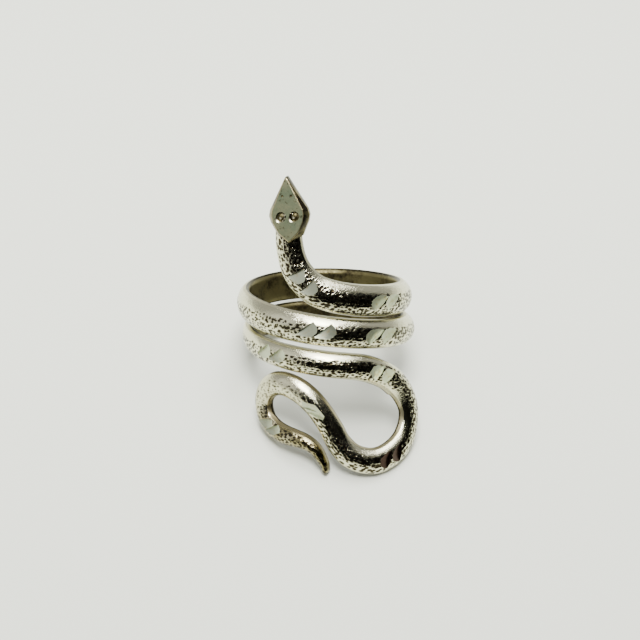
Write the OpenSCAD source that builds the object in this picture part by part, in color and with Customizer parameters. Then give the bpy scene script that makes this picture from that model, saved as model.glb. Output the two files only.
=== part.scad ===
// Snake wrap ring: one flat-backed domed band that runs from a kite-shaped head,
// round the finger in slanted turns, through one large loop and a small curl
// to a thin tail. It stands on its large loop, its tail tip and the back of its
// last turn, so that the finger's axis leans back.

/* [Finger] */
// Inside diameter of the wrap
finger_d = 17.5; // [15:0.5:21]

/* [Band] */
// Width of the band at its widest
band_w = 3.7; // [2.8:0.1:3.9]
// Thickness of the band from the finger to its crown
band_t = 1.5; // [1.2:0.1:2]
// Height of the band's side walls
wall_h = 0.65; // [0.4:0.05:0.9]
// How far each side wall leans in at its top
wall_lean = 0.12; // [0:0.02:0.25]
// Width and height of the eased edge next to the finger
edge_ease = 0.2; // [0.1:0.05:0.3]

/* [Turns] */
// Full turns between the neck and the loops
turns = 2; // [1:1:3]
// Gap between neighbouring turns at the band's widest
turn_gap = 0.15; // [0.1:0.05:1.5]
// Slant of the turns across the finger, in degrees
turn_slant = 8; // [0:1:12]

/* [Neck] */
// Rise of the neck above the first turn
neck_h = 6.3; // [5:0.1:9]
// Side reach of the neck round the finger
neck_side = 3.4; // [2.5:0.1:4.5]

/* [Head] */
// Length of the head
head_l = 7.7; // [7:0.1:11]
// Width of the head
head_w = 4.7; // [4.4:0.1:6.5]
// Height of the head's flat top above the finger, at its lower tip
head_t = 2; // [1.8:0.1:2.6]
// Slope of the flat top down to the nose, in degrees
nose_drop = 7; // [0:1:8]
// Width of the bevel round the head
head_bevel = 0.6; // [0.3:0.05:0.8]
// Height of the bevel round the head
bevel_h = 1.35; // [0.8:0.05:1.5]
// Lean of the head towards the front, in degrees
head_lean = 1; // [-6:1:10]
// Turn of the head about its length, in degrees
head_turn = 6; // [0:1:12]
// Diameter of an eye
eye_d = 1.15; // [0.6:0.05:1.2]
// Depth of an eye's rim
eye_depth = 0.3; // [0.1:0.05:0.5]
// Distance between the eyes
eye_gap = 1.5; // [1.3:0.05:2]

/* [Loops] */
// Drop from the last turn to the foot of the large loop
loop_h = 11.1; // [11:0.1:14]
// Reach of the large loop round the finger
loop_w = 10.3; // [10:0.1:12]
// How far the large loop's side flares off the finger
loop_flare = 0.7; // [0:0.1:1]
// Width of the tail at its tip
tail_w = 1; // [0.8:0.1:1.3]

/* [Diamond cuts] */
// Length of one flat cut
cut_l = 2.7; // [1.5:0.1:3]
// Width of one flat cut
cut_w = 1.3; // [0.8:0.05:1.5]
// Depth of a cut below the dome
cut_depth = 0.25; // [0.1:0.05:0.35]
// Tilt of a cut across its length, in degrees
cut_tilt = 12; // [0:1:15]
// Distance between the two cuts of a pair
pair_step = 2; // [1.6:0.05:3]

/* [Hidden] */

finger_r = finger_d / 2;
mid_r = finger_r + band_t / 2;
pitch = band_w + turn_gap;
slant_rise = mid_r * tan(turn_slant);
// Azimuth of the slant's highest point, from the front towards the right
slant_top = 262;
// Length of band between two rings of points
ring_step = 0.9;
// How far the band's back reaches into the finger's space before that is cut, and
// how far it bulges where it stands off the finger. Up to a small flare the band is
// thicker and stays on the finger.
back_sink = 0.25;
back_bulge = 0.02;
filled_flare = 0.3;
// Height above the finger at which the band's edges start to ease off
edge_lift = 0.03;

// Azimuth on the finger of a length round the front, and the other way round
function azimuth(side) = side / mid_r * 180 / PI;
function side_of(a) = a / 180 * PI * mid_r;

// Height of the slanted turns' centre line at an azimuth
function turn_z(a) = slant_rise * cos(a - slant_top) - pitch * a / 360;

// Neck, from under the head down to the first turn. Each row holds
// [side share of neck_side, rise share of neck_h, width share of band_w]
NECK = [
    [-0.90, 1.50, 0.80],
    [-0.98, 1.25, 0.83],
    [-1.02, 0.96, 0.86],
    [-0.98, 0.68, 0.90],
    [-0.86, 0.46, 0.95],
    [-0.61, 0.27, 0.98],
    [-0.25, 0.13, 0.99],
    [ 0.20, 0.06, 1.00],
    [ 0.85, 0.02, 1.00],
];

// Band along the turns. Each row holds
// [share of the way through the turns, width share, thickness share]
TURN_BAND = [
    [0.00, 1.00, 1.00],
    [0.12, 0.97, 1.00],
    [0.30, 0.98, 1.00],
    [0.42, 1.01, 1.00],
    [0.50, 0.95, 1.00],
    [0.56, 0.90, 1.00],
    [0.72, 0.88, 1.00],
    [0.80, 0.97, 1.00],
    [0.87, 0.82, 0.84],
    [0.92, 0.78, 0.78],
    [1.00, 0.83, 1.00],
];
turn_first = 40;
turn_last = -15;
turn_row_step = 25;

// Loops and tail, from the last turn to the tail's tip. Each row holds
// [side share of loop_w, drop share of loop_h, width share between tail_w and
//  band_w, thickness share, flare share]
LOOPS = [
    [ 0.05, 0.000, 0.78, 1.00, 0.0],
    [ 0.23, 0.000, 0.78, 1.00, 0.0],
    [ 0.40, 0.010, 0.78, 1.00, 0.0],
    [ 0.56, 0.048, 0.78, 1.00, 0.0],
    [ 0.73, 0.117, 0.79, 1.00, 0.2],
    [ 0.89, 0.250, 0.83, 1.00, 0.6],
    [ 0.97, 0.450, 0.89, 1.00, 1.0],
    [ 0.94, 0.620, 0.89, 1.00, 1.0],
    [ 0.84, 0.770, 0.86, 1.00, 1.0],
    [ 0.63, 0.915, 0.81, 1.00, 1.0],
    [ 0.39, 0.990, 0.78, 1.00, 0.9],
    [ 0.18, 0.955, 0.75, 1.00, 0.6],
    [ 0.04, 0.840, 0.70, 1.00, 0.3],
    [-0.04, 0.685, 0.66, 1.00, 0.1],
    [-0.14, 0.530, 0.66, 1.00, 0.0],
    [-0.26, 0.405, 0.70, 1.00, 0.0],
    [-0.41, 0.325, 0.73, 1.00, 0.0],
    [-0.57, 0.303, 0.70, 1.00, 0.0],
    [-0.73, 0.345, 0.65, 1.00, 0.0],
    [-0.87, 0.440, 0.61, 1.00, 0.0],
    [-0.96, 0.600, 0.61, 1.00, 0.0],
    [-0.92, 0.750, 0.58, 1.00, 0.0],
    [-0.79, 0.830, 0.55, 1.00, 0.0],
    [-0.63, 0.858, 0.49, 1.00, 0.0],
    [-0.48, 0.862, 0.40, 0.98, 0.0],
    [-0.35, 0.875, 0.30, 0.96, 0.0],
    [-0.25, 0.925, 0.21, 0.93, 0.0],
    [-0.19, 1.010, 0.14, 0.90, 0.0],
    [-0.155, 1.080, 0.05, 0.85, 0.0],
    [-0.150, 1.130, 0.00, 0.80, 0.0],
];

// All rows of the band as [side, height, width, thickness, flare]
neck_rows = [for (r = NECK) let (side = r[0] * neck_side)
    [side, turn_z(azimuth(side)) + r[1] * neck_h, r[2] * band_w, band_t, 0]];
turn_end = 360 * turns + turn_last;
turn_count = ceil((turn_end - turn_first) / turn_row_step);
turn_widths = [for (r = TURN_BAND) [r[0], r[1] * band_w]];
turn_thicknesses = [for (r = TURN_BAND) [r[0], r[2] * band_t]];
turn_rows = [for (i = [0 : turn_count]) let (share = i / turn_count,
    a = turn_first + share * (turn_end - turn_first))
    [side_of(a), turn_z(a), lookup(share, turn_widths), lookup(share, turn_thicknesses), 0]];
loop_rows = [for (r = LOOPS) let (side = side_of(360 * turns) + r[0] * loop_w)
    [side, turn_z(azimuth(side)) - r[1] * loop_h, tail_w + r[2] * (band_w - tail_w),
     r[3] * band_t, r[4] * loop_flare]];
rows = concat(neck_rows, turn_rows, loop_rows);
last_row = len(rows) - 1;
first_turn_row = len(NECK);
first_loop_row = len(rows) - len(LOOPS);

// Spline through the rows, with the distance between rows as its measure
function row_gap(i) = norm([rows[i + 1][0] - rows[i][0], rows[i + 1][1] - rows[i][1]]);
gaps = [for (i = [0 : last_row - 1]) row_gap(i)];
function row_step(i) = (rows[i + 1] - rows[i]) / gaps[i];
function row_slope(i) = i == 0 ? row_step(0)
    : i == last_row ? row_step(last_row - 1)
    : (row_step(i) * gaps[i - 1] + row_step(i - 1) * gaps[i]) / (gaps[i - 1] + gaps[i]);
slopes = [for (i = [0 : last_row]) row_slope(i)];
function station(u) = let (i = min(floor(u), last_row - 1), f = u - i, g = gaps[i])
    (2 * f ^ 3 - 3 * f ^ 2 + 1) * rows[i] + (f ^ 3 - 2 * f ^ 2 + f) * g * slopes[i]
    + (3 * f ^ 2 - 2 * f ^ 3) * rows[i + 1] + (f ^ 3 - f ^ 2) * g * slopes[i + 1];

// Places on the finger, and the band's own directions there
function spot(u) = let (s = station(u), a = azimuth(s[0]), r = finger_r + s[4])
    [r * sin(a), -r * cos(a), s[1]];
function unit(v) = v / norm(v);
function outward(u) = let (a = azimuth(station(u)[0])) [sin(a), -cos(a), 0];
function forward(u) = let (e = 0.02)
    unit(spot(min(u + e, last_row)) - spot(max(u - e, 0)));
function across(u) = unit(cross(outward(u), forward(u)));

// Section of the band, across and out from the finger, from its lower back edge.
// Narrow stretches have taller walls.
dome_arc = 55;
dome_steps = 8;
wall_gain = 0.15;
wall_limit = 0.65;
function wall_top(w, t) = min(wall_h + (band_w - w) * wall_gain, t * wall_limit);
function dome_point(w, t, b) = let (wall = wall_top(w, t), lean = min(wall_lean, w / 8))
    [(w / 2 - lean) * sin(b) / sin(dome_arc),
     wall + (t - wall) * (cos(b) - cos(dome_arc)) / (1 - cos(dome_arc))];
function section(w, t, flare) = let (half = w / 2, ease = min(edge_ease, half / 2),
    inner = half - ease,
    touching = flare < filled_flare, low = touching ? edge_lift - flare : 0,
    back = touching ? -flare - back_sink : -back_bulge, eased = low + ease)
    concat([[-inner, back], [-inner, low], [-half, eased]],
    [for (k = [0 : dome_steps]) dome_point(w, t, dome_arc * (2 * k / dome_steps - 1))],
    [[half, eased], [inner, low], [inner, back]]);
section_count = dome_steps + 7;

function ring(u) = let (s = station(u), p = spot(u), n = outward(u), x = across(u))
    [for (q = section(s[2], s[3], s[4])) p + q[0] * x + q[1] * n];

// Positions of the rings along the rows, then a short rounded tip
ring_places = concat([for (i = [0 : last_row - 1]) let (k = ceil(gaps[i] / ring_step))
    for (j = [0 : k - 1]) i + j / k], [last_row]);
tip_turns = [30, 58];
function tip_ring(b) = let (s = station(last_row), t = s[3], n = outward(last_row),
    x = across(last_row), p = spot(last_row) + forward(last_row) * tail_w / 2 * sin(b))
    [for (q = section(s[2] * cos(b), t, 0))
        p + q[0] * x + (q[1] > 0 ? q[1] * (1 + cos(b)) / 2 : q[1]) * n];
rings = concat([for (u = ring_places) ring(u)], [for (b = tip_turns) tip_ring(b)]);
points = [for (r = rings) each r];

module sweep() {
    n = section_count;
    count = len(rings);
    sides = [for (i = [0 : count - 2]) for (j = [0 : n - 1]) let (k = (j + 1) % n)
        each [[i * n + j, i * n + k, (i + 1) * n + k],
              [i * n + j, (i + 1) * n + k, (i + 1) * n + j]]];
    crown = 3 + dome_steps / 2;
    first_cap = [for (j = [n - 1 : -1 : 0]) (j + crown + 1) % n];
    last_cap = [for (j = [0 : n - 1]) (count - 1) * n + (j + crown) % n];
    polyhedron(points, concat(sides, [first_cap, last_cap]));
}

// Outlines of the head's widest edge and of its flat top, each the right half as
// [width share, length share] from its lower tip
HEAD_EDGE = [[0, 0], [0.60, 0.13], [0.93, 0.34], [1, 0.43], [0.93, 0.52], [0.06, 0.99], [0, 1]];
HEAD_TOP = [[0, 0.06], [0.66, 0.20], [0.96, 0.34], [1.04, 0.44], [1, 0.52], [0.12, 0.965], [0, 0.985]];
face_plate = 0.1;
head_foot = 0.7;
eye_share = 0.43;
nostril_share = 0.73;
nostril_d = 0.35;
nostril_gap = 1;
nostril_depth = 0.15;
function outline(table, half_w, l) = concat(
    [for (q = table) [q[0] * half_w, q[1] * l]],
    [for (i = [len(table) - 2 : -1 : 1]) [-table[i][0] * half_w, table[i][1] * l]]);

module head() {
    edge = outline(HEAD_EDGE, head_w / 2, head_l);
    top = outline(HEAD_TOP, head_w / 2 - head_bevel, head_l);
    edge_h = head_t - bevel_h;
    hull() {
        translate([0, 0, -head_foot]) linear_extrude(head_foot) offset(delta = -edge_ease) polygon(edge);
        translate([0, 0, edge_ease]) linear_extrude(edge_h - edge_ease) polygon(edge);
        on_face() translate([0, 0, -face_plate]) linear_extrude(face_plate) polygon(top);
    }
}

// Places a shape on the head's sloping flat top
module on_face() translate([0, 0, head_t]) rotate([-nose_drop, 0, 0]) children();

// Two punched eyes, each a round pit with a button left inside it, and two nostrils
module face_pits() {
    for (side = [-1, 1]) {
        translate([side * eye_gap / 2, eye_share * head_l, -eye_depth]) difference() {
            cylinder(d = eye_d, h = head_t, $fn = 24);
            cylinder(d1 = eye_d * 0.75, d2 = eye_d * 0.4, h = eye_depth * 0.7, $fn = 24);
        }
        translate([side * nostril_gap / 2, nostril_share * head_l, -nostril_depth])
            cylinder(d = nostril_d, h = head_t, $fn = 16);
    }
}

// Places a flat shape on the finger, at an azimuth and height, x round the finger,
// y along it and z outwards
module on_finger(a, z, lean = 0)
    rotate([0, 0, a]) translate([0, -finger_r, z]) rotate([90, 0, 0]) rotate(-lean) children();

// The head's lower tip, as a share of neck_side and a drop below the neck's rise
head_side_share = 0.87;
head_drop = 0.55;
head_a = azimuth(-head_side_share * neck_side);
head_z = turn_z(head_a) + neck_h - head_drop;
module at_head() on_finger(head_a, head_z, head_lean)
    translate([0, 0, head_t]) rotate([0, head_turn, 0]) translate([0, 0, -head_t]) children();

// Pairs of diamond cuts on the turns, as azimuths from the front of their own turn,
// for the first, third … and the second, fourth … turns
ODD_TURN_CUTS = [43, 105, 172, 234, 355];
EVEN_TURN_CUTS = [37, 98, 150, 240, 319];
turn_cut_angle = 45;

// Other pairs of cuts. Each row holds [row in NECK or LOOPS, place round the dome
// in degrees, angle of the cuts from the band's run, share of pair_step, size share]
NECK_CUTS = [[5.15, 0, 79, 0.95, 1]];
LOOP_CUTS = [
    [3.05, 0, 70, 0.80, 1.00],
    [9.30, 0, 25, 0.85, 1.00],
    [14.45, 10, 35, 0.42, 0.65],
    [22.00, 15, 45, 0.70, 0.80],
];

// Row of an azimuth on the turns, and the row some length further along the band
function turn_row(a) = first_turn_row + (a - turn_first) / (turn_end - turn_first) * turn_count;
function further(u, l) = u + l / gaps[floor(u)];

module cut(u, b, angle, size) {
    s = station(u);
    n = outward(u);
    x = across(u);
    q = dome_point(s[2], s[3], b);
    up = cos(b) * n + sin(b) * x;
    side = cos(b) * x - sin(b) * n;
    run = cross(side, up);
    p = spot(u) + q[0] * x + q[1] * n;
    l = cut_l * size;
    w = cut_w * size;
    multmatrix([for (i = [0 : 2]) [run[i], side[i], up[i], p[i]]])
        rotate([0, 0, angle]) rotate([-cut_tilt, 0, 0])
            translate([-l / 2, -w / 2, -cut_depth]) cube([l, w, band_t]);
}

module pair(u, b, angle, share, size)
    for (side = [-0.5, 0.5]) cut(further(u, side * share * pair_step), b, angle, size);

module cuts() {
    for (k = [0 : turns - 1]) for (a = k % 2 == 0 ? ODD_TURN_CUTS : EVEN_TURN_CUTS)
        if (a + 360 * k < turn_end) pair(turn_row(a + 360 * k), 0, turn_cut_angle, 1, 1);
    for (r = NECK_CUTS) pair(r[0], r[1], r[2], r[3], r[4]);
    for (r = LOOP_CUTS) pair(first_loop_row + r[0], r[1], r[2], r[3], r[4]);
}

// The finger's space, its wall starting at this azimuth, below the neck
bore_start = 22;
bore_reach = 60;
module finger_space() rotate([0, 0, bore_start - 90])
    translate([0, 0, -bore_reach]) cylinder(r = finger_r, h = 2 * bore_reach, $fn = 180);

// The whole ring, with the finger upright
module upright_band() {
    difference() {
        union() {
            sweep();
            at_head() head();
        }
        finger_space();
        at_head() on_face() face_pits();
        cuts();
    }
}

// Points of a ring, those in the finger's space moved out along n to its wall
function shell(r, n) = [for (p = r) let (d = p[0] * n[0] + p[1] * n[1],
    c = p[0] ^ 2 + p[1] ^ 2 - finger_r ^ 2) c < 0 ? p + (sqrt(d ^ 2 - c) - d) * n : p];
shells = [for (i = [0 : len(rings) - 1])
    shell(rings[i], outward(i < len(ring_places) ? ring_places[i] : last_row))];

// The ring's three feet: points of the large loop, the tail and the back half of
// the last turn
function shell_between(u0, u1) = [for (i = [0 : len(ring_places) - 1])
    if (ring_places[i] >= u0 && ring_places[i] <= u1) each shells[i]];
loop_foot = shell_between(first_loop_row + 7, first_loop_row + 13);
tail_foot = concat(shell_between(first_loop_row + 25, last_row),
    [for (i = [len(ring_places) : len(rings) - 1]) each shells[i]]);
turn_foot = shell_between(turn_row(turn_end - 255), turn_row(turn_end - 75));

// Lowest point of a foot along a floor's normal, and the normal of the floor under
// the three lowest points, found in a few rounds
function lowest(foot, n) = let (h = [for (p = foot) p * n], m = min(h))
    [for (i = [0 : len(h) - 1]) if (h[i] == m) foot[i]][0];
function floor_under(n) = let (a = lowest(loop_foot, n), b = lowest(tail_foot, n),
    c = lowest(turn_foot, n), m = unit(cross(b - a, c - a))) m[2] < 0 ? -m : m;
function settled(n, rounds) = rounds == 0 ? n : settled(floor_under(n), rounds - 1);
floor_up = settled(unit([0, -0.6, 0.8]), 8);
floor_x = unit([1, 0, 0] - floor_up[0] * floor_up);
floor_y = cross(floor_up, floor_x);

// Middle of the resting ring's box in plan, and its lowest height
plan = [for (r = shells) each [for (p = r) [p * floor_x, p * floor_y, p * floor_up]]];
function middle(k) = let (v = [for (p = plan) p[k]]) (min(v) + max(v)) / 2;
floor_z = min([for (p = plan) p[2]]);

module snake_band() {
    color("silver") multmatrix([
        concat(floor_x, [-middle(0)]),
        concat(floor_y, [-middle(1)]),
        concat(floor_up, [-floor_z])]) upright_band();
}

snake_band();
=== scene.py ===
"""Snake wrap ring: the look of the band, the head and the picture's setting.

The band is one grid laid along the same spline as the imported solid, with its stipple,
walls and diamond cuts as geometry. All working sizes are millimetres in the ring's own
frame, the finger's axis upright, and one matrix lays the finished pieces on the floor."""

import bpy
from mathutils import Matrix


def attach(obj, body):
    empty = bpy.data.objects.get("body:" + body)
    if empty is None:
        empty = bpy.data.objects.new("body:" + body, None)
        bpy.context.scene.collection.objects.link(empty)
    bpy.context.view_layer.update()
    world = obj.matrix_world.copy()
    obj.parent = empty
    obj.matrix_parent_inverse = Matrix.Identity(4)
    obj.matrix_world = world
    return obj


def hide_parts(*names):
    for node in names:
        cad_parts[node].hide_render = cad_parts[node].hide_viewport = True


bl_info = {
    "name": "Snake Wrap Ring",
    "version": (1, 0, 0),
    "blender": (4, 5, 0),
    "location": "View3D > Sidebar > Snake Ring",
    "description": "Builds a coiled snake ring with a stippled band, diamond cuts and a kite head",
    "category": "Object",
}

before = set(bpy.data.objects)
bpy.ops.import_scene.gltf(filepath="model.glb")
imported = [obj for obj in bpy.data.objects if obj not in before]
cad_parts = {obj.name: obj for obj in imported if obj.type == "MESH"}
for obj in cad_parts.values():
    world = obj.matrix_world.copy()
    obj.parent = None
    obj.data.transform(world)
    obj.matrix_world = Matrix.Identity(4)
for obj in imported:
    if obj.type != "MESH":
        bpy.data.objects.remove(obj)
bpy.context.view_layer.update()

import math

import bmesh
import bpy
from bpy.props import FloatProperty, FloatVectorProperty, PointerProperty
from mathutils import Matrix, Vector, noise

MM = 0.001

# How the ring lies: the floor's x, y and up directions in the ring's own frame, and the
# middle of the floor under it, in millimetres
FLOOR_X = Vector((0.991424, 0.0784358, -0.104527))
FLOOR_Y = Vector((0.0, 0.799851, 0.600198))
FLOOR_UP = Vector((0.130683, -0.595051, 0.792992))
FLOOR_SHIFT = Vector((0.462207, -6.3399, -11.3623))

# Neck rows: side share of the neck's reach, rise share of its height, width share
NECK = (
    (-0.90, 1.50, 0.80),
    (-0.98, 1.25, 0.83),
    (-1.02, 0.96, 0.86),
    (-0.98, 0.68, 0.90),
    (-0.86, 0.46, 0.95),
    (-0.61, 0.27, 0.98),
    (-0.25, 0.13, 0.99),
    (0.20, 0.06, 1.00),
    (0.85, 0.02, 1.00),
)

# Band along the turns: share of the way through them, width share, thickness share
TURN_BAND = (
    (0.00, 1.00, 1.00),
    (0.12, 0.97, 1.00),
    (0.30, 0.98, 1.00),
    (0.42, 1.01, 1.00),
    (0.50, 0.95, 1.00),
    (0.56, 0.90, 1.00),
    (0.72, 0.88, 1.00),
    (0.80, 0.97, 1.00),
    (0.87, 0.82, 0.84),
    (0.92, 0.78, 0.78),
    (1.00, 0.83, 1.00),
)
# The turns: how many, the azimuths of their first row and of their last row in the last
# turn, the most degrees from row to row, and the azimuth where the slant is highest
TURNS = 2
TURN_FIRST = 40
TURN_LAST = -15
TURN_ROW_STEP = 25
SLANT_TOP = 262

# Loop rows: side share of the loop's reach, drop share of its height, width share
# between the tail and the band, thickness share, flare share
LOOPS = (
    (0.05, 0.000, 0.78, 1.00, 0.0),
    (0.23, 0.000, 0.78, 1.00, 0.0),
    (0.40, 0.010, 0.78, 1.00, 0.0),
    (0.56, 0.048, 0.78, 1.00, 0.0),
    (0.73, 0.117, 0.79, 1.00, 0.2),
    (0.89, 0.250, 0.83, 1.00, 0.6),
    (0.97, 0.450, 0.89, 1.00, 1.0),
    (0.94, 0.620, 0.89, 1.00, 1.0),
    (0.84, 0.770, 0.86, 1.00, 1.0),
    (0.63, 0.915, 0.81, 1.00, 1.0),
    (0.39, 0.990, 0.78, 1.00, 0.9),
    (0.18, 0.955, 0.75, 1.00, 0.6),
    (0.04, 0.840, 0.70, 1.00, 0.3),
    (-0.04, 0.685, 0.66, 1.00, 0.1),
    (-0.14, 0.530, 0.66, 1.00, 0.0),
    (-0.26, 0.405, 0.70, 1.00, 0.0),
    (-0.41, 0.325, 0.73, 1.00, 0.0),
    (-0.57, 0.303, 0.70, 1.00, 0.0),
    (-0.73, 0.345, 0.65, 1.00, 0.0),
    (-0.87, 0.440, 0.61, 1.00, 0.0),
    (-0.96, 0.600, 0.61, 1.00, 0.0),
    (-0.92, 0.750, 0.58, 1.00, 0.0),
    (-0.79, 0.830, 0.55, 1.00, 0.0),
    (-0.63, 0.858, 0.49, 1.00, 0.0),
    (-0.48, 0.862, 0.40, 0.98, 0.0),
    (-0.35, 0.875, 0.30, 0.96, 0.0),
    (-0.25, 0.925, 0.21, 0.93, 0.0),
    (-0.19, 1.010, 0.14, 0.90, 0.0),
    (-0.155, 1.080, 0.05, 0.85, 0.0),
    (-0.150, 1.130, 0.00, 0.80, 0.0),
)

# Pairs of diamond cuts on the turns, as azimuths from the front of their own turn
TURN_CUTS = ((43, 105, 172, 234, 355), (37, 98, 150, 240, 319))
TURN_CUT_ANGLE = 45

# Other pairs of cuts: row, place round the dome in degrees, angle of the cuts from the
# band's run, share of the usual step between the two, size share, share of the usual
# tilt, 1 if tarnished
NECK_CUTS = ((5.15, 0, 79, 0.95, 1, 1, 0),)
LOOP_CUTS = (
    (3.05, 0, 70, 0.80, 1.00, -1, 0),
    (9.30, 0, 62, 0.75, 1.00, 1, 1),
    (14.45, 10, 35, 0.42, 0.65, 1, 0),
    (22.00, 15, 45, 0.70, 0.80, 1, 0),
)

# A cut is swept by a turning tool, straight across and hollow along its length: the
# radius of the sweep and the cutter's height in millimetres, its steps along the length,
# and how much longer it is than the cut
CUT_SWEEP = 6
CUT_HEIGHT = 1.0
CUT_STEPS = 19
CUT_LONG = 1.25
# The least angle between two faces of a cut that stays a sharp edge
FACET = math.radians(20)

# Section of the band: the dome's half arc in degrees, the wall's gain in height for each
# millimetre that the band is narrower, and its most share of the thickness
DOME_ARC = 55
WALL_GAIN = 0.15
WALL_LIMIT = 0.65
# The flare in millimetres below which the back stays on the finger, how far the back
# reaches into the finger's space there before it is laid on the finger, how far it bulges
# where it stands off, and how far the eased edges are lifted
FILLED_FLARE = 0.3
BACK_SINK = 0.25
BACK_BULGE = 0.02
EDGE_LIFT = 0.03
# The most that the ease takes of half the width, and the walls' lean of the width
EASE_LIMIT = 0.5
LEAN_LIMIT = 0.125
# How far to each side of a place its direction is read, in rows
NUDGE = 0.02

# Points round the section, the distance of the sections in millimetres and the sections
# round the tail's tip
BACK_STEPS = 6
EASE_STEPS = 2
WALL_STEPS = 3
DOME_STEPS = 42
RUN_STEP = 0.13
TIP_STEPS = 7

WEAR_MAP = "wear"

# Wear along the band: row, stipple, the places across the dome where the stipple starts
# and ends, tarnish of the walls and tarnish of the dome. Rows count on from the neck
# through the turns and the loops.
WEAR = (
    (0, 0.90, -0.95, 0.95, 0.35, 0.40),
    (3, 1.00, -0.95, 0.95, 0.35, 0.40),
    (5, 1.00, -0.95, 0.70, 0.30, 0.25),
    (8, 1.00, -0.95, 0.40, 0.30, 0.12),
    (12, 1.00, -0.95, 0.40, 0.30, 0.10),
    (20, 0.85, -0.95, 0.40, 0.45, 0.20),
    (30, 0.80, -0.95, 0.40, 0.50, 0.25),
    (39, 1.00, -0.95, 0.45, 0.35, 0.10),
    (42, 1.00, -0.60, 0.90, 0.60, 0.15),
    (46, 1.00, -0.50, 0.95, 0.75, 0.20),
    (50, 0.90, -0.30, 0.95, 0.80, 0.20),
    (53, 0.40, -0.40, 0.95, 0.90, 0.45),
    (57, 0.50, -0.80, 0.95, 1.20, 0.60),
    (60, 0.90, -0.95, 0.80, 1.10, 0.85),
    (70, 1.00, -0.95, 0.90, 1.10, 1.20),
)

# The dome's relief in millimetres: height and width of its rough grain, the share of that
# height where there is no stipple, height and width of its slow swell, and how far the
# stipple's edge wanders as a share of the dome, over what width
UNEVEN, UNEVEN_STEP = 0.022, 0.27
SMOOTH_PART = 0.3
SWELL, SWELL_STEP = 0.02, 0.8
RAGGED, RAGGED_STEP = 0.15, 0.7
# How soon the stipple fades past its start and its end, as shares of the dome
FADE_IN = (-0.05, 0.20)
FADE_OUT = (-0.15, 0.10)
# A pit's shift off its cell's middle, its least reach and the spread of its reach in
# cells, the share of its reach that is its floor, its least depth, and how much pits
# are pressed together across the band
PIT_SHIFT = 0.8
PIT_REACH = 0.35
PIT_SPREAD = 0.35
PIT_FLOOR = 0.35
PIT_LEAST = 0.6
PIT_SQUEEZE = 1.2

# Outlines of the head's widest edge and of its flat top, each the right half as width
# share and length share from its lower tip
HEAD_EDGE = ((0, 0), (0.60, 0.13), (0.93, 0.34), (1, 0.43), (0.93, 0.52), (0.06, 0.99), (0, 1))
HEAD_TOP = (
    (0, 0.06), (0.66, 0.20), (0.96, 0.34), (1.04, 0.44), (1, 0.52), (0.12, 0.965), (0, 0.985)
)
# The head's lower tip: its side share of the neck's reach and its drop below the neck's
# rise. Below its edge the head has an eased foot that reaches into the finger's space,
# and its flat top starts as a thin plate. All in millimetres.
HEAD_SIDE = -0.87
HEAD_DROP = 0.55
HEAD_FOOT = 0.7
HEAD_EASE = 0.2
FACE_PLATE = 0.1
# Angles in degrees above which an edge of the head is rounded, and below which two of its
# faces are one
HEAD_CREASE = 12
HEAD_FLAT = 1
# A rounded edge is worn bright where it climbs less than this share of its length
WORN_CLIMB = 0.3
# The top's faces look this much upwards
TOP_FACING = 0.98

# The eyes' place along the head, the height of an eye's cutter and the round of its foot
# in millimetres, and the button left inside as shares of the radius and of the depth
EYE_AT = 0.43
EYE_TOP = 1
EYE_ROUND = 0.06
BUTTON = ((0.75, 0), (0.5, 0.6), (0.3, 0.7), (0, 0.7))
EYE_STEPS = 32
# A nostril: its place along the head, then side, height, radii and depth in millimetres
NOSTRIL_AT = 0.73
NOSTRIL = (0.5, 0.35, 0.14, 0.175, 1)
# A shallow dish beside each eye, on the same side of both and bared to silver as a painted
# highlight: its middle from the eye's, radius, depth and flatness
DISH = (-0.24, -0.20, 0.50, 0.13)
DISH_FLAT = 0.5
# The finger's space: its steps, its clearance and its length in millimetres
FINGER_STEPS = 256
FINGER_CLEAR = 0.02
FINGER_LONG = 80

# Camera in the ring's own frame: its height above the ring's middle plane and its roll
# in degrees, the point it looks at in millimetres, and its lens and sensor
CAMERA_RISE = 11.5
CAMERA_ROLL = 5
CAMERA_AIM = Vector((-0.75, 0, -4.5))
LENS = 105.19
SENSOR = 36

# The floor: its side in metres, how much darker its painted shade makes it near the camera, and
# the places along y in metres between which that painted shade fades out
FLOOR_SIDE = 6
FLOOR_PAINTED_SHADE = 0.82
FLOOR_FADE = (-0.08, 0.06)

# The lights: name, share of the key's power, size and place in metres
LAMPS = (
    ("key", 1, 0.22, Vector((-0.05, -0.12, 0.62))),
    ("top", 1.3, 0.50, Vector((0.05, 0.26, 0.75))),
    ("left", 0.07, 0.50, Vector((-0.48, -0.12, 0.34))),
)
ROOM_COLOUR = (1.0, 1.0, 0.98, 1)

# The dark side of the room: azimuths in degrees from the front towards the right, its
# steps, its outline as distance and height in metres, the share of its height at its two
# ends, and its colour
DARK_FROM = -45
DARK_TO = 104
DARK_STEPS = 24
DARK_PROFILE = ((0.042, 0.0004), (0.32, 0.0004), (0.32, 0.62))
DARK_LOW = 0.35
DARK_COLOUR = (0.003, 0.003, 0.003, 1)


def length(name, text, mm):
    """A size in metres with its default given in millimetres."""
    return FloatProperty(
        name=name, description=text, default=mm * MM, unit="LENGTH", precision=5
    )


def angle(name, text, degrees):
    """An angle with its default given in degrees."""
    return FloatProperty(
        name=name, description=text, default=math.radians(degrees), subtype="ANGLE"
    )


def colour(name, text, value):
    """A colour that a user may change."""
    return FloatVectorProperty(
        name=name, description=text, default=value, size=3, subtype="COLOR", min=0, max=1
    )


def strength(name, text, value):
    """A light's or the room's strength."""
    return FloatProperty(name=name, description=text, default=value, min=0)


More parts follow.
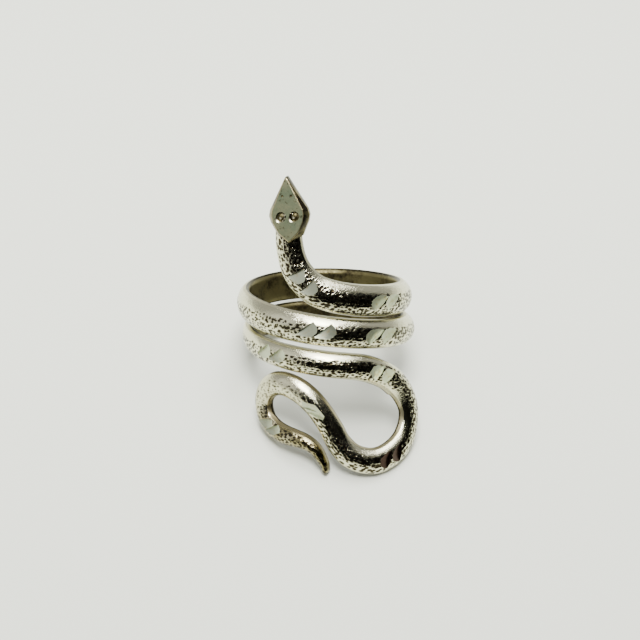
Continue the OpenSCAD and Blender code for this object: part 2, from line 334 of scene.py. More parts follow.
class BandSizes(bpy.types.PropertyGroup):
    """Sizes of the band, its turns and loops."""

    finger_d: length("Finger", "Inside diameter of the wrap", 17.5)
    band_w: length("Width", "Width of the band at its widest", 3.7)
    band_t: length("Thickness", "Thickness of the band from the finger to its crown", 1.5)
    wall_h: length("Wall", "Height of the band's side walls", 0.65)
    wall_lean: length("Wall lean", "How far each side wall leans in at its top", 0.12)
    edge_ease: length("Eased edge", "Eased edge next to the finger", 0.2)
    turn_gap: length("Gap", "Gap between neighbouring turns", 0.15)
    turn_slant: angle("Slant", "Slant of the turns", 8)
    neck_h: length("Neck rise", "Rise of the neck above the first turn", 6.3)
    neck_side: length("Neck reach", "Side reach of the neck round the finger", 3.4)
    loop_h: length("Loop drop", "Drop from the last turn to the foot of the large loop", 11.1)
    loop_w: length("Loop reach", "Reach of the large loop round the finger", 10.3)
    loop_flare: length("Loop flare", "How far the large loop stands off the finger", 0.7)
    tail_w: length("Tail", "Width of the tail at its tip", 1.0)
    cut_l: length("Cut length", "Length of one cut", 2.7)
    cut_w: length("Cut width", "Width of one cut", 1.3)
    cut_depth: length("Cut depth", "Depth of a cut below the dome", 0.25)
    cut_tilt: angle("Cut tilt", "Tilt of a cut across its length", 14)
    pair_step: length("Pair step", "Distance between the two cuts of a pair", 2.0)
    pit_size: length("Pit size", "Distance between the pits of the stipple", 0.40)
    pit_depth: length("Pit depth", "Depth of the stipple's pits", 0.055)


class HeadSizes(bpy.types.PropertyGroup):
    """Sizes of the head."""

    head_l: length("Length", "Length of the head", 7.7)
    head_w: length("Width", "Width of the head", 4.7)
    head_t: length("Height", "Height of the head's flat top above the finger", 2.0)
    head_bevel: length("Bevel width", "Width of the bevel round the head", 0.6)
    bevel_h: length("Bevel height", "Height of the bevel round the head", 1.35)
    head_lean: angle("Lean", "Lean of the head to the side", 1)
    head_turn: angle("Turn", "Turn of the head about its length", 6)
    nose_drop: angle("Nose drop", "Slope of the flat top down to the nose", 7)
    eye_d: length("Eye", "Diameter of an eye", 1.15)
    eye_depth: length("Eye depth", "Depth of an eye's rim", 0.3)
    eye_gap: length("Eye gap", "Distance between the eyes", 1.5)
    softness: length("Edge softness", "Rounding of the head's edges", 0.07)


class Finish(bpy.types.PropertyGroup):
    """Colours of the metal and its tarnish, two of which also paint shade inside the ring and
    along the walls' foot.
    """

    silver: colour("Silver", "Bare metal", (0.66, 0.64, 0.45))
    tan: colour("Tan", "Light tarnish on the side walls", (0.36, 0.31, 0.17))
    # brown is tarnish in the pits, and painted shade inside the ring and along the walls' foot
    brown: colour("Brown", "Dark tarnish in the pits and inside", (0.036, 0.029, 0.015))
    # olive is tarnish on the dome and the head, and painted shade inside the turns
    olive: colour("Olive", "Tarnish inside the turns and on the head", (0.170, 0.150, 0.068))
    cut: colour("Cuts", "Satin faces of the cuts", (0.43, 0.46, 0.34))
    umber: colour("Umber", "Tarnished cuts", (0.050, 0.030, 0.022))
    grey_green: colour("Grey green", "Matte top of the head", (0.150, 0.182, 0.112))


class Setting(bpy.types.PropertyGroup):
    """The camera, the floor and the lights."""

    floor: colour("Floor", "Pale floor", (0.785, 0.81, 0.70))
    sky: strength("Room", "Strength of the light room", 0.55)
    key: strength("Key light", "Power of the key light in watts", 6.5)
    camera_far: length("Camera distance", "From the camera to the ring", 220.0)


class Field:
    """A shader socket that takes part in sums with numbers and other sockets."""

    def __init__(self, surface, socket):
        self.surface, self.socket = surface, socket

    def math(self, operation, *values):
        return self.surface.node(
            "ShaderNodeMath", {"operation": operation}, dict(enumerate(values))
        )

    def __add__(self, other):
        return self.math("ADD", self, other)

    def __radd__(self, other):
        return self.math("ADD", other, self)

    def __sub__(self, other):
        return self.math("SUBTRACT", self, other)

    def __rsub__(self, other):
        return self.math("SUBTRACT", other, self)

    def __mul__(self, other):
        return self.math("MULTIPLY", self, other)

    def __rmul__(self, other):
        return self.math("MULTIPLY", other, self)

    def between(self, low, high):
        """0 at low and 1 at high, with soft ends."""
        return self.surface.node(
            "ShaderNodeMapRange", {"interpolation_type": "SMOOTHSTEP", "clamp": True},
            {0: self, 1: low, 2: high, 3: 0.0, 4: 1.0},
        )


class Surface:
    """A material with one shader, and the means to feed it."""

    def __init__(self, name, **constants):
        self.material = bpy.data.materials.new(name)
        self.material.use_nodes = True
        self.tree = self.material.node_tree
        self.shader = self.tree.nodes["Principled BSDF"]
        for socket, value in constants.items():
            self.shader.inputs[socket.replace("_", " ")].default_value = value

    def node(self, kind, settings=None, values=None, output=0):
        """Adds a node, sets it, then feeds its sockets with numbers or fields."""
        made = self.tree.nodes.new(kind)
        for key, value in (settings or {}).items():
            setattr(made, key, value)
        for key, value in (values or {}).items():
            if isinstance(value, Field):
                self.tree.links.new(value.socket, made.inputs[key])
            else:
                made.inputs[key].default_value = value
        return Field(self, made.outputs[output])

    def place(self):
        """The place on the piece in metres."""
        return self.node("ShaderNodeTexCoord", output="Object")

    def speckle(self, size_mm, detail=2.0, rough=0.5):
        """Noise with features of about the given size."""
        values = {
            "Vector": self.place(), "Scale": 1 / (size_mm * MM),
            "Detail": detail, "Roughness": rough,
        }
        return self.node("ShaderNodeTexNoise", {}, values, "Fac")

    def wear(self, axis):
        """One number of the band's UV map wear: 0 for the pits' depth or the height on a
        wall, 1 for the tarnish."""
        spot = self.node("ShaderNodeUVMap", {"uv_map": WEAR_MAP})
        return self.node("ShaderNodeSeparateXYZ", {}, {0: spot}, axis)

    def mix(self, share, low, high):
        """One colour where the share is 0 and the other where it is 1."""
        low, high = (c if isinstance(c, Field) else (*c, 1.0) for c in (low, high))
        return self.node("ShaderNodeMix", {"data_type": "RGBA"}, {0: share, 6: low, 7: high}, 2)

    def feed(self, **fields):
        """Links fields to the shader's sockets."""
        for socket, value in fields.items():
            self.tree.links.new(value.socket, self.shader.inputs[socket.replace("_", " ")])

    def bump(self, height, depth_mm):
        """Fine relief of the surface, too small for geometry."""
        self.feed(Normal=self.node(
            "ShaderNodeBump", {}, {"Height": height, "Distance": depth_mm * MM, "Strength": 1.0}
        ))
        return self


def stippled_silver(finish):
    """The dome: bright frosted silver with brown pits and patches of tarnish."""
    s = Surface("stippled_silver", Metallic=1.0)
    pit, tarnish = s.wear(0), s.wear(1)
    grain = s.speckle(0.13, 2.0, 0.6)
    cloud = s.speckle(1.6, 2.0)
    deep = (pit * (0.7 + 0.6 * grain)).between(0.08, 0.45)
    film = (tarnish * (0.5 + cloud)).between(0.25, 1.1)
    heavy = (tarnish * (0.5 + cloud)).between(0.55, 1.3)
    bare = s.mix(heavy, s.mix(film, finish.silver, finish.tan), finish.olive)
    s.feed(
        Base_Color=s.mix(deep, bare, finish.brown),
        Roughness=0.07 + 0.10 * grain.between(0.35, 0.75) + 0.12 * deep,
    )
    return s.bump(grain, 0.030).material


def side_silver(finish):
    """The walls: smoother, with a thin tan tarnish and brown painted shade at their foot by the
    finger, where the turns meet.
    """
    s = Surface("side_silver", Metallic=1.0)
    tarnish, height = s.wear(1), s.wear(0)
    grain = s.speckle(0.25, 3.0, 0.6)
    cloud = s.speckle(1.2, 2.0)
    film = (tarnish * (0.55 + 0.9 * cloud)).between(0.15, 0.9)
    # low marks the foot of the wall, coloured brown as painted shade in the crease between
    # neighbouring turns
    low = (height + 0.5 * (grain - 0.5)).between(0.0, 0.35)
    s.feed(
        Base_Color=s.mix(1 - low, s.mix(film, finish.silver, finish.tan), finish.brown),
        Roughness=0.26 + 0.2 * grain,
    )
    return s.bump(grain, 0.008).material


def inner_silver(finish):
    """The back on the finger: rubbed, and painted dark olive and brown as the shade inside the
    ring.
    """
    s = Surface("inner_silver", Metallic=1.0)
    grain = s.speckle(0.3, 3.0, 0.6)
    cloud = s.speckle(2.2, 3.0)
    # film spreads the painted shade of the ring's inside between olive and brown
    film = (cloud + 0.3 * (grain - 0.5)).between(0.38, 0.68)
    s.feed(Base_Color=s.mix(film, finish.olive, finish.brown), Roughness=0.34 + 0.2 * grain)
    return s.bump(grain, 0.006).material


def cut_silver(name, clean, worn):
    """A diamond cut or another worn place: satin with a soft unevenness."""
    s = Surface(name, Metallic=1.0)
    grain = s.speckle(0.4, 2.0)
    s.feed(
        Base_Color=s.mix(grain.between(0.5, 0.8), clean, worn),
        Roughness=0.22 + 0.24 * grain,
    )
    return s.bump(s.speckle(0.2), 0.005).material


def head_silver(finish):
    """The head's flat top: matte and grey-green with brown marks."""
    s = Surface("head_silver", Metallic=1.0)
    grain = s.speckle(0.12, 3.0, 0.6)
    cloud = s.speckle(1.5, 3.0)
    warm = 0.4 * (0.7 * cloud + 0.3 * grain).between(0.35, 0.7)
    patina = s.mix(warm, finish.grey_green, finish.tan)
    marks = s.speckle(0.45, 4.0, 0.7).between(0.56, 0.68)
    s.feed(
        Base_Color=s.mix(0.85 * marks, patina, finish.brown),
        Roughness=0.40 + 0.18 * grain,
    )
    return s.bump(grain, 0.012).material


def bevel_silver(finish):
    """The head's bevels and sides: olive and brown tarnish."""
    s = Surface("bevel_silver", Metallic=1.0)
    grain = s.speckle(0.2, 3.0, 0.6)
    cloud = s.speckle(1.1, 2.0)
    film = (cloud + 0.4 * (grain - 0.5)).between(0.35, 0.6)
    s.feed(Base_Color=s.mix(film, finish.olive, finish.brown), Roughness=0.22 + 0.2 * grain)
    return s.bump(grain, 0.006).material


def pit_silver(finish):
    """The punched eyes and nostrils: brown and olive tarnish."""
    s = Surface("pit_silver", Metallic=1.0)
    grain = s.speckle(0.15, 3.0, 0.6)
    s.feed(
        Base_Color=s.mix(grain.between(0.35, 0.65), finish.brown, finish.olive),
        Roughness=0.35 + 0.2 * grain,
    )
    return s.bump(grain, 0.01).material


def blend(table, column, share):
    """A table's column at a share of its first column, straight between the rows."""
    for low, high in zip(table, table[1:]):
        if share <= high[0]:
            f = (share - low[0]) / (high[0] - low[0])
            return low[column] + f * (high[column] - low[column])
    return table[-1][column]


class Run:
    """The band's run: rows of side, height, width, thickness and flare, and the spline
    through them. Sizes are millimetres."""

    def __init__(self, sizes):
        size = {k: getattr(sizes, k) / MM for k in sizes.__annotations__}
        size["turn_slant"], size["cut_tilt"] = sizes.turn_slant, sizes.cut_tilt
        self.size = size
        self.finger_r = size["finger_d"] / 2
        self.mid_r = self.finger_r + size["band_t"] / 2
        self.pitch = size["band_w"] + size["turn_gap"]
        neck = [
            (side * size["neck_side"],
             self.turn_z(self.azimuth(side * size["neck_side"])) + rise * size["neck_h"],
             wide * size["band_w"], size["band_t"], 0)
            for side, rise, wide in NECK
        ]
        self.turn_end = 360 * TURNS + TURN_LAST
        self.turn_count = math.ceil((self.turn_end - TURN_FIRST) / TURN_ROW_STEP)
        turns = []
        for i in range(self.turn_count + 1):
            share = i / self.turn_count
            a = TURN_FIRST + share * (self.turn_end - TURN_FIRST)
            turns.append((
                self.side_of(a), self.turn_z(a), blend(TURN_BAND, 1, share) * size["band_w"],
                blend(TURN_BAND, 2, share) * size["band_t"], 0,
            ))
        loops = []
        for side, drop, wide, thick, flare in LOOPS:
            s = self.side_of(360 * TURNS) + side * size["loop_w"]
            loops.append((
                s, self.turn_z(self.azimuth(s)) - drop * size["loop_h"],
                size["tail_w"] + wide * (size["band_w"] - size["tail_w"]),
                thick * size["band_t"], flare * size["loop_flare"],
            ))
        self.rows = [Vector(r) for r in neck + turns + loops]
        self.last = len(self.rows) - 1
        self.first_turn = len(neck)
        self.first_loop = len(neck) + len(turns)
        self.gaps = [(b.xy - a.xy).length for a, b in zip(self.rows, self.rows[1:])]
        steps = [(b - a) / g for a, b, g in zip(self.rows, self.rows[1:], self.gaps)]
        self.slopes = [steps[0]]
        for i in range(1, self.last):
            g0, g1 = self.gaps[i - 1], self.gaps[i]
            self.slopes.append((steps[i] * g0 + steps[i - 1] * g1) / (g0 + g1))
        self.slopes.append(steps[-1])

    def azimuth(self, side):
        """Azimuth in degrees of a side distance round the band."""
        return math.degrees(side / self.mid_r)

    def side_of(self, a):
        """Side distance round the band of an azimuth in degrees."""
        return math.radians(a) * self.mid_r

    def turn_z(self, a):
        """Height of the turns at an azimuth, with their slant and pitch."""
        slant_rise = self.mid_r * math.tan(self.size["turn_slant"])
        return slant_rise * math.cos(math.radians(a - SLANT_TOP)) - self.pitch * a / 360

    def station(self, u):
        """The run's side, height, width, thickness and flare at a row."""
        i = min(int(u), self.last - 1)
        f, g = u - i, self.gaps[i]
        return (
            (2 * f**3 - 3 * f**2 + 1) * self.rows[i]
            + (f**3 - 2 * f**2 + f) * g * self.slopes[i]
            + (3 * f**2 - 2 * f**3) * self.rows[i + 1]
            + (f**3 - f**2) * g * self.slopes[i + 1]
        )

    def spot(self, s):
        """The point at the middle of the band's back."""
        a = s[0] / self.mid_r
        r = self.finger_r + s[4]
        return Vector((r * math.sin(a), -r * math.cos(a), s[1]))

    def directions(self, u):
        """Out from the finger, along the band and across it."""
        a = self.station(u)[0] / self.mid_r
        out = Vector((math.sin(a), -math.cos(a), 0))
        ahead = self.spot(self.station(min(u + NUDGE, self.last)))
        behind = self.spot(self.station(max(u - NUDGE, 0)))
        along = (ahead - behind).normalized()
        return out, along, out.cross(along).normalized()

    def turn_row(self, a):
        """The row of an azimuth of the turns."""
        return self.first_turn + (a - TURN_FIRST) / (self.turn_end - TURN_FIRST) * self.turn_count

    def further(self, u, distance):
        """The row at a distance along the run from a row."""
        return u + distance / self.gaps[int(u)]

    def wall_top(self, w, t):
        """Height of the side walls."""
        return min(self.size["wall_h"] + (self.size["band_w"] - w) * WALL_GAIN, t * WALL_LIMIT)

    def dome_point(self, w, t, b):
        """Across and out from the back's middle, b degrees round the dome."""
        wall, lean = self.wall_top(w, t), min(self.size["wall_lean"], w * LEAN_LIMIT)
        arc, b = math.radians(DOME_ARC), math.radians(b)
        return (
            (w / 2 - lean) * math.sin(b) / math.sin(arc),
            wall + (t - wall) * (math.cos(b) - math.cos(arc)) / (1 - math.cos(arc)),
        )

    def section(self, w, t, flare):
        """Points round the section, each with its zone and its place in that zone."""
        half = w / 2
        ease = min(self.size["edge_ease"], half * EASE_LIMIT)
        inner = half - ease
        touching = flare < FILLED_FLARE
        low = EDGE_LIFT - flare if touching else 0
        back = -flare - BACK_SINK if touching else -BACK_BULGE
        points = []
        for k in range(BACK_STEPS):
            at = 1 - 2 * k / BACK_STEPS
            points.append((inner - 2 * inner * k / BACK_STEPS, back, "back", at))
        points.append((-inner, low, "back", -1))
        top_x, top_y = self.dome_point(w, t, DOME_ARC)
        for side in (-1, 1):
            flank = []
            for k in range(1, EASE_STEPS):
                turn = math.pi / 2 * k / EASE_STEPS
                y = low + ease * (1 - math.cos(turn))
                flank.append((inner + ease * math.sin(turn), y, 0.0))
            for k in range(WALL_STEPS + 1):
                f = k / WALL_STEPS
                y = low + ease + f * (top_y - low - ease)
                flank.append((half + f * (top_x - half), y, f))
            if side < 0:
                points += [(-x, y, "wall", f) for x, y, f in flank]
                for k in range(1, DOME_STEPS):
                    b = DOME_ARC * (2 * k / DOME_STEPS - 1)
                    points.append((*self.dome_point(w, t, b), "dome", b / DOME_ARC))
            else:
                points += [(x, y, "wall", f) for x, y, f in reversed(flank)]
        points.append((inner, low, "back", 1))
        points.append((inner, back, "back", 1))
        return points


def smooth_step(low, high, x):
    """0 at low and 1 at high, with soft ends."""
    f = max(0.0, min(1.0, (x - low) / (high - low)))
    return f * f * (3 - 2 * f)


def pit_at(x, y, size):
    """How deep a pit is at a place of the unrolled surface, from 0 to 1. Each cell of
    an even net has one pit, moved off its middle and with a size of its own."""
    x, y = x / size, y / size
    i, j = math.floor(x), math.floor(y)
    deep = 0.0
    for a in (i - 1, i, i + 1):
        for b in (j - 1, j, j + 1):
            own = noise.cell_vector(Vector((a + 0.5, b + 0.5, 3.5)))
            far = math.hypot(
                x - a - 0.5 - PIT_SHIFT * (own.x - 0.5), y - b - 0.5 - PIT_SHIFT * (own.y - 0.5)
            )
            reach = PIT_REACH + PIT_SPREAD * own.z
            if far < reach:
                own_depth = PIT_LEAST + (1 - PIT_LEAST) * own.x
                deep = max(deep, (1 - smooth_step(PIT_FLOOR * reach, reach, far)) * own_depth)
    return deep


def own_mesh(name, bm, materials):
    """Makes an object of a bmesh that is in the ring's own frame and millimetres."""
    lay = Matrix((
        (*FLOOR_X, -FLOOR_SHIFT.x), (*FLOOR_Y, -FLOOR_SHIFT.y), (*FLOOR_UP, -FLOOR_SHIFT.z),
        (0, 0, 0, 1),
    ))
    bmesh.ops.transform(bm, matrix=Matrix.Scale(MM, 4) @ lay, verts=bm.verts)
    mesh = bpy.data.meshes.new(name)
    bm.to_mesh(mesh)
    bm.free()
    for material in materials:
        mesh.materials.append(material)
    piece = bpy.data.objects.new(name, mesh)
    bpy.context.scene.collection.objects.link(piece)
    return piece


def cut_away(piece, cutters):
    """Takes each cutter out of the piece, keeps the cutters' materials on the new
    faces, and deletes the cutters."""
    for cutter in cutters:
        cutting = piece.modifiers.new("cut", "BOOLEAN")
        cutting.object, cutting.operation = cutter, "DIFFERENCE"
        cutting.solver, cutting.material_mode = "MANIFOLD", "TRANSFER"
    graph = bpy.context.evaluated_depsgraph_get()
    done = bpy.data.meshes.new_from_object(piece.evaluated_get(graph), depsgraph=graph)
    piece.modifiers.clear()
    old, piece.data = piece.data, done
    bpy.data.meshes.remove(old)
    done.name = piece.name
    for cutter in cutters:
        bpy.data.objects.remove(cutter)


def finish_faces(piece, apart, flat=()):
    """Shades a piece smooth, with sharp edges round and between the faces of the
    materials that stand apart, and the flat ones of them flat."""
    bm = bmesh.new()
    bm.from_mesh(piece.data)
    names = [m.name for m in piece.data.materials]
    bmesh.ops.remove_doubles(bm, verts=bm.verts, dist=1e-8)
    for face in bm.faces:
        face.smooth = names[face.material_index] not in flat
    for edge in bm.edges:
        kinds = {names[face.material_index] in apart for face in edge.link_faces}
        edge.smooth = kinds == {False} or kinds == {True} and edge.calc_face_angle(0) < FACET
    bm.to_mesh(piece.data)
    bm.free()


def declare(piece):
    """Hangs the piece on the root body and hides the imported band."""
    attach(piece, "root")
    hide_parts("snake_band")


class SNAKE_OT_band(bpy.types.Operator):
    """Builds the stippled band with its turns, loops, tail and diamond cuts"""

    bl_idname = "snake.band"
    bl_label = "Band"

    def execute(self, context):
        run = Run(context.scene.snake_band)
        finish = context.scene.snake_finish
        materials = [
            stippled_silver(finish), side_silver(finish), inner_silver(finish),
            cut_silver("cut_silver", finish.cut, finish.tan),
            cut_silver("cut_tarnish", finish.umber, finish.brown),
        ]
        piece = self.body(run, materials[:3])
        cut_away(piece, self.cutters(run, materials[3:]))
        finish_faces(piece, {"cut_silver", "cut_tarnish"})
        declare(piece)
        return {"FINISHED"}

    def body(self, run, materials):
        """One grid laid along the run, its columns round the section, with the relief of
        the dome. The first and last columns meet, and the two ends are closed."""
        places = []
        for i in range(run.last):
            k = math.ceil(run.gaps[i] / RUN_STEP)
            places += [(i + j / k, 0.0) for j in range(k)]
        places += [(run.last, 90 * k / (TIP_STEPS + 0.5)) for k in range(TIP_STEPS + 1)]
        sample = run.section(1, 1, 0)
        around = len(sample) - 1
        bm = bmesh.new()
        wears = bm.loops.layers.uv.new(WEAR_MAP)
        bmesh.ops.create_grid(bm, x_segments=len(places) - 1, y_segments=around, size=1)
        spots = {}
        for v in bm.verts:
            i = round((v.co.x + 1) / 2 * (len(places) - 1))
            j = round((v.co.y + 1) / 2 * around)
            spots.setdefault(i, {})[j] = v
        marks = {}
        travelled = 0.0
        for i, (u, tip) in enumerate(places):
            s = run.station(u)
            out, along, across = run.directions(u)
            turn = math.radians(tip)
            base = run.spot(s) + along * run.size["tail_w"] / 2 * math.sin(turn)
            touching = s[4] < FILLED_FLARE
            stipple, start, end, wall_film, dome_film = (blend(WEAR, c, u) for c in range(1, 6))
            if i:
                travelled += (base - before).length
            before = base
            section = run.section(s[2] * math.cos(turn), s[3], s[4])
            for j, (x, y, zone, at) in enumerate(section):
                if tip and y > 0:
                    y *= (1 + math.cos(turn)) / 2
                p = base + x * across + y * out
                wear = 0.0
                if zone == "dome":
                    edge = at + RAGGED * noise.noise(p / RAGGED_STEP)
                    worn = stipple * (1 - smooth_step(end + FADE_OUT[0], end + FADE_OUT[1], edge))
                    worn *= smooth_step(start + FADE_IN[0], start + FADE_IN[1], edge)
                    wear = worn * pit_at(travelled, PIT_SQUEEZE * x, run.size["pit_size"])
                    rough = UNEVEN * (SMOOTH_PART + (1 - SMOOTH_PART) * worn)
                    lift = SWELL * noise.noise(p / SWELL_STEP) * (1 - abs(at))
                    lift += rough * noise.noise(p / UNEVEN_STEP) * (1 - at**4)
                    lift -= run.size["pit_depth"] * wear
                    b = math.radians(at * DOME_ARC)
                    p += lift * (math.cos(b) * out + math.sin(b) * across)
                elif zone == "wall":
                    wear = at
                elif touching:
                    d = p.xy.dot(out.xy)
                    c = p.xy.length_squared - run.finger_r**2
                    if c < 0:
                        p += (math.sqrt(d * d - c) - d) * out
                marks[i, j] = (wear, dome_film if zone == "dome" else wall_film)
                spots[i][j].co = p
        names = {v: (i, j) for i, ring in spots.items() for j, v in ring.items()}
        for face in bm.faces:
            keys = [names[v] for v in face.verts]
            zones = [sample[j][2] for _, j in keys]
            dome = "dome" in zones
            face.material_index = 0 if dome else 1 if "wall" in zones else 2
            for loop, (i, j) in zip(face.loops, keys):
                wear, film = marks[i, j]
                if dome and sample[j][2] != "dome":
                    wear, film = 0.0, film / 2
                loop[wears].uv = (wear, film)
        bmesh.ops.remove_doubles(bm, verts=bm.verts, dist=1e-5)
        bmesh.ops.holes_fill(bm, edges=[e for e in bm.edges if e.is_boundary], sides=0)
        bmesh.ops.recalc_face_normals(bm, faces=bm.faces)
        return own_mesh("band", bm, materials)

    def cutters(self, run, materials):
        """The two cuts of every pair, in two objects, so that no cutter meets another."""
        pairs = [
            (run.turn_row(a + 360 * k), 0, TURN_CUT_ANGLE, 1, 1, -1 if a < 180 else 1, 0)
            for k, turn in enumerate(TURN_CUTS) for a in turn if a + 360 * k < run.turn_end
        ]
        pairs += NECK_CUTS
        pairs += [(run.first_loop + row, *rest) for row, *rest in LOOP_CUTS]
        made = []
        for side in (-0.5, 0.5):
            bm = bmesh.new()
            for row, b, lean, share, size, tilt, dark in pairs:
                u = run.further(row, side * share * run.size["pair_step"])
                cutter = self.cutter(run, u, b, lean, size, tilt, dark)
                bm.from_mesh(cutter)
                bpy.data.meshes.remove(cutter)
            made.append(own_mesh(f"cutter{side}", bm, materials))
        return made

    def cutter(self, run, u, b, lean, share, tilt, dark):
        """The mesh that one cut takes out of the band at a place of its run and dome."""
        s = run.station(u)
        out, _, across = run.directions(u)
        x, y = run.dome_point(s[2], s[3], b)
        turn = math.radians(b)
        up = math.cos(turn) * out + math.sin(turn) * across
        side = math.cos(turn) * across - math.sin(turn) * out
        p = run.spot(s) + x * across + y * out
        size = run.size
        place = Matrix((side.cross(up), side, up)).transposed().to_4x4()
        place = Matrix.Translation(p) @ place @ Matrix.Rotation(math.radians(lean), 4, "Z")
        place @= Matrix.Rotation(-tilt * size["cut_tilt"], 4, "X")
        place @= Matrix.Translation((0, 0, CUT_HEIGHT / 2 - size["cut_depth"]))
        block = Matrix.Diagonal((
            CUT_LONG * share * size["cut_l"], share * size["cut_w"], CUT_HEIGHT, 1
        ))
        bm = bmesh.new()
        bmesh.ops.create_cube(bm, size=1, matrix=block)
        lengthwise = [e for e in bm.edges if abs(e.verts[0].co.x - e.verts[1].co.x) > 0.1]
        bmesh.ops.subdivide_edges(bm, edges=lengthwise, cuts=CUT_STEPS, use_grid_fill=True)
        for v in bm.verts:
            v.co.z += v.co.x**2 / (2 * CUT_SWEEP)
        for face in bm.faces:
            face.material_index = dark
        bmesh.ops.transform(bm, matrix=place, verts=bm.verts)
        mesh = bpy.data.meshes.new("cutter")
        bm.to_mesh(mesh)
        bm.free()
        return mesh


class SNAKE_OT_head(bpy.types.Operator):
    """Builds the kite-shaped head with its bevels, punched eyes and nostrils"""

    bl_idname = "snake.head"
    bl_label = "Head"

    def execute(self, context):
        run = Run(context.scene.snake_band)
        sizes, finish = context.scene.snake_head, context.scene.snake_finish
        head = {k: getattr(sizes, k) / MM for k in sizes.__annotations__}
        a = run.azimuth(HEAD_SIDE * run.size["neck_side"])
        z = run.turn_z(a) + run.size["neck_h"] - HEAD_DROP
        place = Matrix.Rotation(math.radians(a), 4, "Z")
        place @= Matrix.Translation((0, -run.finger_r, z))
        place @= Matrix.Rotation(math.pi / 2, 4, "X") @ Matrix.Rotation(-sizes.head_lean, 4, "Z")
        top = Matrix.Translation((0, 0, head["head_t"]))
        place @= top @ Matrix.Rotation(sizes.head_turn, 4, "Y") @ top.inverted()
        face = top @ Matrix.Rotation(-sizes.nose_drop, 4, "X")
        piece = self.body(head, place, face, [
            head_silver(finish), bevel_silver(finish),
            cut_silver("edge_silver", finish.tan, finish.olive),
        ])
        # The dishes by the eyes are coloured bare silver as a painted highlight
        cutters = self.cutters(
            head, place @ face, run, pit_silver(finish),
            cut_silver("painted_highlight_silver", finish.silver, finish.tan), inner_silver(finish),
        )
        cut_away(piece, cutters)
        finish_faces(
            piece, {"head_silver", "inner_silver", "painted_highlight_silver"}, {"head_silver", "inner_silver"}
        )
        declare(piece)
        return {"FINISHED"}

    def body(self, head, place, face, materials):
        """The hull of the head's outlines, with its creases rounded and its rims worn."""
        bm = bmesh.new()
        half, long = head["head_w"] / 2, head["head_l"]
        foot, narrow = half - HEAD_EASE, half - head["head_bevel"]
        edge_h = head["head_t"] - head["bevel_h"]
        straight = Matrix.Identity(4)
        layers = (
            (HEAD_EDGE, foot, straight, -HEAD_FOOT), (HEAD_EDGE, foot, straight, 0),
            (HEAD_EDGE, half, straight, HEAD_EASE), (HEAD_EDGE, half, straight, edge_h),
            (HEAD_TOP, narrow, face, -FACE_PLATE), (HEAD_TOP, narrow, face, 0),
        )
        for table, wide, on, z in layers:
            for x, y in table:
                for side in ((-1, 1) if x else (1,)):
                    bm.verts.new(on @ Vector((side * x * wide, y * long, z)))
        bmesh.ops.convex_hull(bm, input=bm.verts)
        bmesh.ops.dissolve_limit(
            bm, angle_limit=math.radians(HEAD_FLAT), verts=bm.verts, edges=bm.edges, delimit=set()
        )
        bmesh.ops.recalc_face_normals(bm, faces=bm.faces)
        sharp = [e for e in bm.edges if e.calc_face_angle(0) > math.radians(HEAD_CREASE)]
        worn = bmesh.ops.bevel(
            bm, geom=sharp, offset=head["softness"], affect="EDGES", segments=3, profile=0.5,
            material=-1, clamp_overlap=True,
        )["faces"]
        for face in bm.faces:
            face.material_index = 0 if face.normal.z > TOP_FACING else 1
        for face in worn:
            edge = max(face.edges, key=lambda e: e.calc_length())
            climb = abs(edge.verts[0].co.z - edge.verts[1].co.z)
            if climb < WORN_CLIMB * edge.calc_length():
                face.material_index = 2
        bmesh.ops.transform(bm, matrix=place, verts=bm.verts)
        return own_mesh("head", bm, materials)

    def cutters(self, head, face, run, pit, clean, inner):
        """The eyes and nostrils on the face, the dishes of painted highlight, and the finger's
        space.
        """
        made = []
        eye_y = EYE_AT * head["head_l"]
        aside, height, low_r, high_r, depth = NOSTRIL
        for side in (-1, 1):
            bm = bmesh.new()
            r, deep = head["eye_d"] / 2, head["eye_depth"]
            centre = Vector((side * head["eye_gap"] / 2, eye_y, -deep))
            profile = (
                (0, EYE_TOP), (r, EYE_TOP), (r, EYE_ROUND), (r - EYE_ROUND, 0),
                *((x * r, z * deep) for x, z in BUTTON),
            )
            line = [bm.verts.new((centre.x + x, centre.y, centre.z + z)) for x, z in profile]
            edges = [bm.edges.new(pair) for pair in zip(line, line[1:])]
            bmesh.ops.spin(
                bm, geom=line + edges, cent=centre, axis=(0, 0, 1), angle=2 * math.pi,
                steps=EYE_STEPS, use_merge=True, use_duplicate=False,
            )
            bmesh.ops.remove_doubles(bm, verts=bm.verts, dist=1e-4)
            nostril = Matrix.Translation((side * aside, NOSTRIL_AT * head["head_l"], height))
            bmesh.ops.create_cone(
                bm, cap_ends=True, segments=EYE_STEPS // 2, radius1=low_r, radius2=high_r,
                depth=depth, matrix=nostril,
            )
            bmesh.ops.recalc_face_normals(bm, faces=bm.faces)
            bmesh.ops.transform(bm, matrix=face, verts=bm.verts)
            made.append(own_mesh(f"eye{side}", bm, [pit]))
        bm = bmesh.new()
        # Each dish is bare silver on the grey-green top, a painted highlight offset to the same
        # side for both eyes
        x, y, r, deep = DISH
        flatten = Matrix.Diagonal((1, 1, DISH_FLAT, 1))
        for side in (-1, 1):
            eye_x = side * head["eye_gap"] / 2
            dish = Matrix.Translation((eye_x + x, eye_y + y, r * DISH_FLAT - deep))
            bmesh.ops.create_uvsphere(
                bm, u_segments=EYE_STEPS, v_segments=EYE_STEPS // 2, radius=r,
                matrix=dish @ flatten,
            )
        bmesh.ops.transform(bm, matrix=face, verts=bm.verts)
        made.append(own_mesh("dishes", bm, [clean]))
        bm = bmesh.new()
        room = run.finger_r + FINGER_CLEAR
        bmesh.ops.create_cone(
            bm, cap_ends=True, segments=FINGER_STEPS, radius1=room, radius2=room,
            depth=FINGER_LONG,
        )
        made.append(own_mesh("finger", bm, [inner]))
        return made


